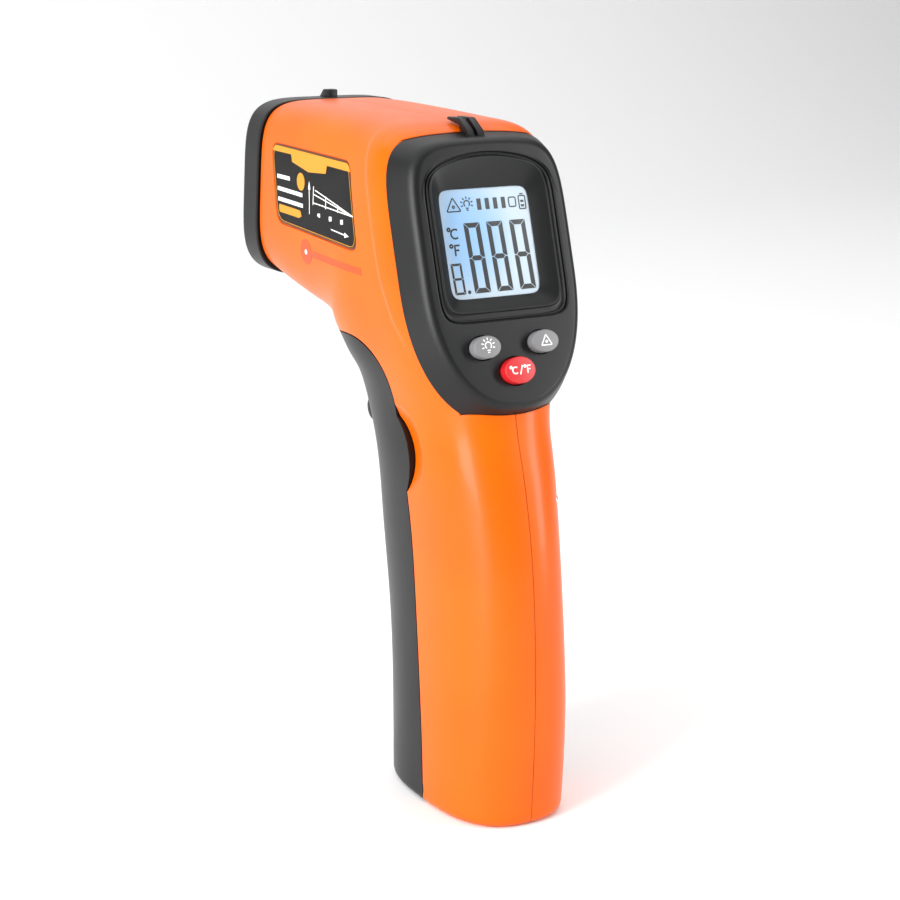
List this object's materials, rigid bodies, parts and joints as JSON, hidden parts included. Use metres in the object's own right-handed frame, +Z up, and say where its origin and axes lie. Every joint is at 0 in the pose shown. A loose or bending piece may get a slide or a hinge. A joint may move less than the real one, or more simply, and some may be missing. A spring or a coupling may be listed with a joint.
{
  "type": "infrared thermometer",
  "caption": "Pistol-shaped infrared thermometer with a tilted liquid crystal display, a trigger, rubber keys and a hinged battery door in the front of the handle.",
  "frame": {"origin": "centre of the bounding box's base, on the surface that the handle's foot stands on", "axes": "+Z up along the handle, +Y out of the nose along the optical axis, -Y towards the user and the display"},
  "size_m": [0.0428, 0.1033, 0.153],
  "materials": {
    "orange_shell": "satin moulded ABS",
    "black_plastic": "fine spark texture",
    "printed_label": "printed polyester film",
    "plated_steel": "zinc plated",
    "spring_steel": "nickel plated spring steel",
    "brass": "turned",
    "milky_lens": "milky polyethylene Fresnel lens",
    "clear_window": "clear acrylic",
    "lcd_glass": "liquid crystal display with printed segments",
    "light_guide": "frosted acrylic light guide",
    "silicone": "silicone rubber",
    "white_plastic": "moulded",
    "circuit_board": "green solder mask on glass-fibre board",
    "black_resin": "epoxy",
    "grey_button": "satin silicone key",
    "red_button": "satin silicone key",
    "battery_wrap": "printed shrink sleeve"
  },
  "bodies": {
    "housing": {"left_shell": "orange_shell", "right_shell": "orange_shell", "left_label": "printed_label", "right_label": "printed_label", "shell_screws": "plated_steel", "nose_bezel": "black_plastic", "optical_tube": "black_plastic", "infrared_lens": "milky_lens", "thermopile_can": "plated_steel", "sensor_board": "circuit_board", "laser_module": "brass", "laser_window": "clear_window", "display_bezel": "black_plastic", "window_lens": "clear_window", "lcd_glass": "lcd_glass", "lcd_backlight": "light_guide", "contact_strip": "silicone", "lcd_frame": "white_plastic", "main_board": "circuit_board", "main_chip": "black_resin", "board_screws": "plated_steel", "button_mat": "silicone", "trigger_pin": "plated_steel", "trigger_bracket": "black_plastic", "trigger_switch": "black_resin", "trigger_spring": "spring_steel", "door_pin": "plated_steel", "battery_tray": "black_plastic", "batteries": "battery_wrap", "contact_springs": "spring_steel", "contact_plates": "spring_steel"},
    "backlight_key": {"backlight_button": "grey_button"},
    "laser_key": {"laser_button": "grey_button"},
    "unit_key": {"unit_button": "red_button"},
    "trigger": {"trigger": "black_plastic"},
    "battery_door": {"battery_door": "black_plastic"}
  },
  "joints": [
    {"name": "backlight_press", "type": "slide", "parent": "housing", "child": "backlight_key", "axis": [0, 0.9593, -0.2823], "range_m": [0, 0.0008], "stiffness_N_per_m": 600},
    {"name": "laser_press", "type": "slide", "parent": "housing", "child": "laser_key", "axis": [0, 0.9593, -0.2823], "range_m": [0, 0.0008], "stiffness_N_per_m": 600},
    {"name": "unit_press", "type": "slide", "parent": "housing", "child": "unit_key", "axis": [0, 0.9593, -0.2823], "range_m": [0, 0.0008], "stiffness_N_per_m": 600},
    {"name": "trigger_pull", "type": "hinge", "parent": "housing", "child": "trigger", "pos_m": [0, 0.0035, 0.0983], "axis": [-1, 0, 0], "range_deg": [0, 9], "stiffness_Nm_per_rad": 0.12},
    {"name": "battery_door_swing", "type": "hinge", "parent": "housing", "child": "battery_door", "pos_m": [0, -0.0244, 0.0036], "axis": [-1, 0, 0], "range_deg": [0, 70]}
  ]
}
